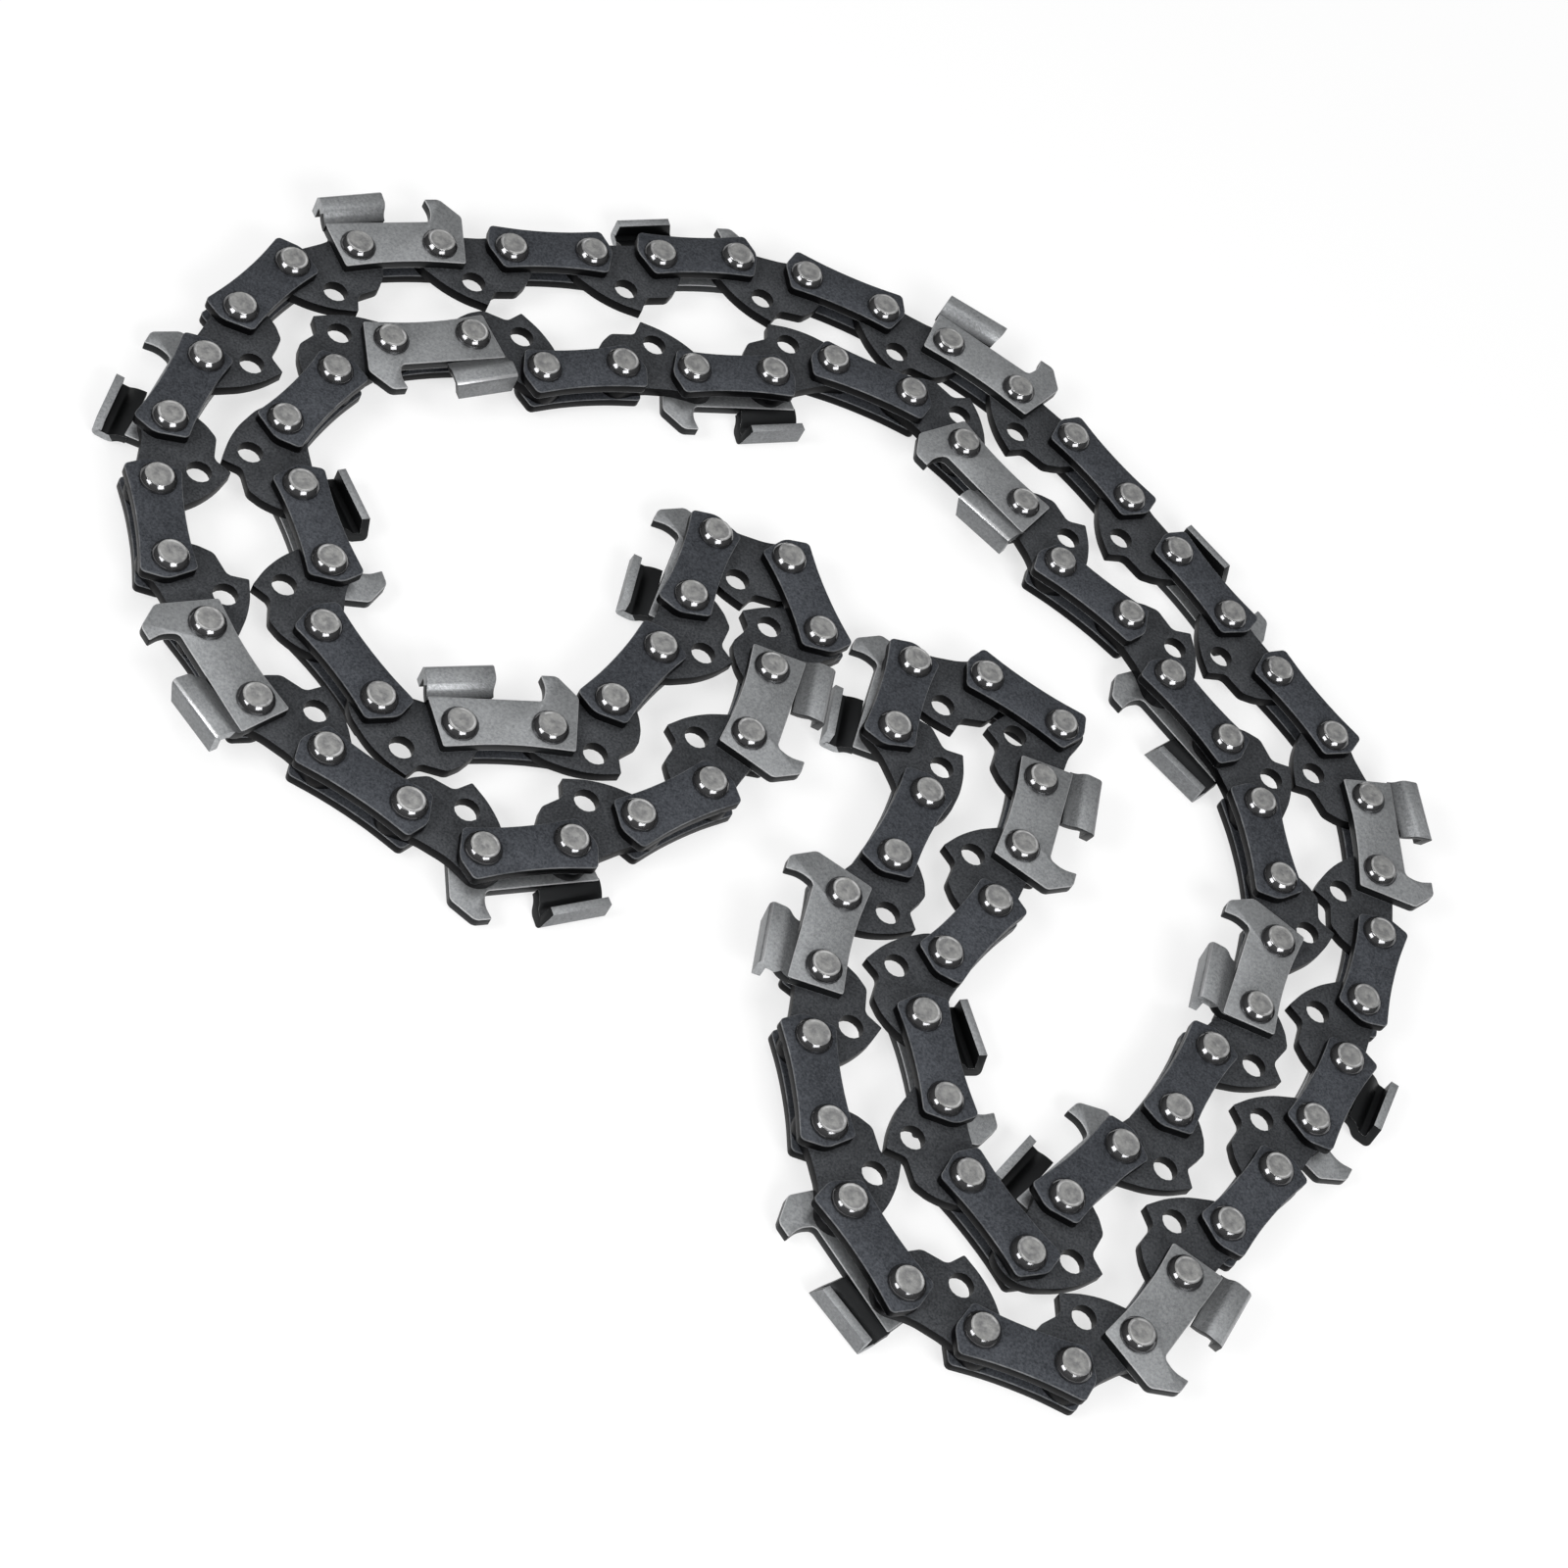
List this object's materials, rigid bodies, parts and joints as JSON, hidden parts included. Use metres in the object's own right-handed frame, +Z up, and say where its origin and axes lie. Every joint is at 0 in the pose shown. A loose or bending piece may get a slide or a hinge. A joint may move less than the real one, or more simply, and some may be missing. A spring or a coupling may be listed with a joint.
{
  "type": "chainsaw chain",
  "caption": "Closed loop of low-profile chainsaw chain, lying on its side: cutters, tie straps and drive links riveted together, for a bar with a narrow groove.",
  "frame": {"origin": "middle of the loop's outline, on the surface that it lies on", "axes": "+Z up, along the rivets; +X along the longer side of the outline"},
  "size_m": [0.1576, 0.132, 0.0055],
  "materials": {
    "strap_steel": "satin",
    "drive_steel": "satin",
    "cutter_steel": "satin",
    "rivet_steel": "satin"
  },
  "bodies": {
    "root": {"drive_links": "drive_steel", "left_cutter_03": "cutter_steel", "left_cutter_07": "cutter_steel", "left_cutter_11": "cutter_steel", "left_cutter_15": "cutter_steel", "left_cutter_19": "cutter_steel", "left_cutter_23": "cutter_steel", "left_cutter_25": "cutter_steel", "left_cutter_29": "cutter_steel", "left_cutter_33": "cutter_steel", "left_cutter_37": "cutter_steel", "left_cutter_41": "cutter_steel", "left_cutter_45": "cutter_steel", "left_cutter_49": "cutter_steel", "opposite_straps": "strap_steel", "right_cutter_01": "cutter_steel", "right_cutter_05": "cutter_steel", "right_cutter_09": "cutter_steel", "right_cutter_13": "cutter_steel", "right_cutter_17": "cutter_steel", "right_cutter_21": "cutter_steel", "right_cutter_27": "cutter_steel", "right_cutter_31": "cutter_steel", "right_cutter_35": "cutter_steel", "right_cutter_39": "cutter_steel", "right_cutter_43": "cutter_steel", "right_cutter_47": "cutter_steel", "rivets": "rivet_steel", "tie_straps_02": "strap_steel", "tie_straps_04": "strap_steel", "tie_straps_06": "strap_steel", "tie_straps_08": "strap_steel", "tie_straps_10": "strap_steel", "tie_straps_12": "strap_steel", "tie_straps_14": "strap_steel", "tie_straps_16": "strap_steel", "tie_straps_18": "strap_steel", "tie_straps_20": "strap_steel", "tie_straps_22": "strap_steel", "tie_straps_24": "strap_steel", "tie_straps_26": "strap_steel", "tie_straps_28": "strap_steel", "tie_straps_30": "strap_steel", "tie_straps_32": "strap_steel", "tie_straps_34": "strap_steel", "tie_straps_36": "strap_steel", "tie_straps_38": "strap_steel", "tie_straps_40": "strap_steel", "tie_straps_42": "strap_steel", "tie_straps_44": "strap_steel", "tie_straps_46": "strap_steel", "tie_straps_48": "strap_steel", "tie_straps_50": "strap_steel"}
  },
  "joints": []
}
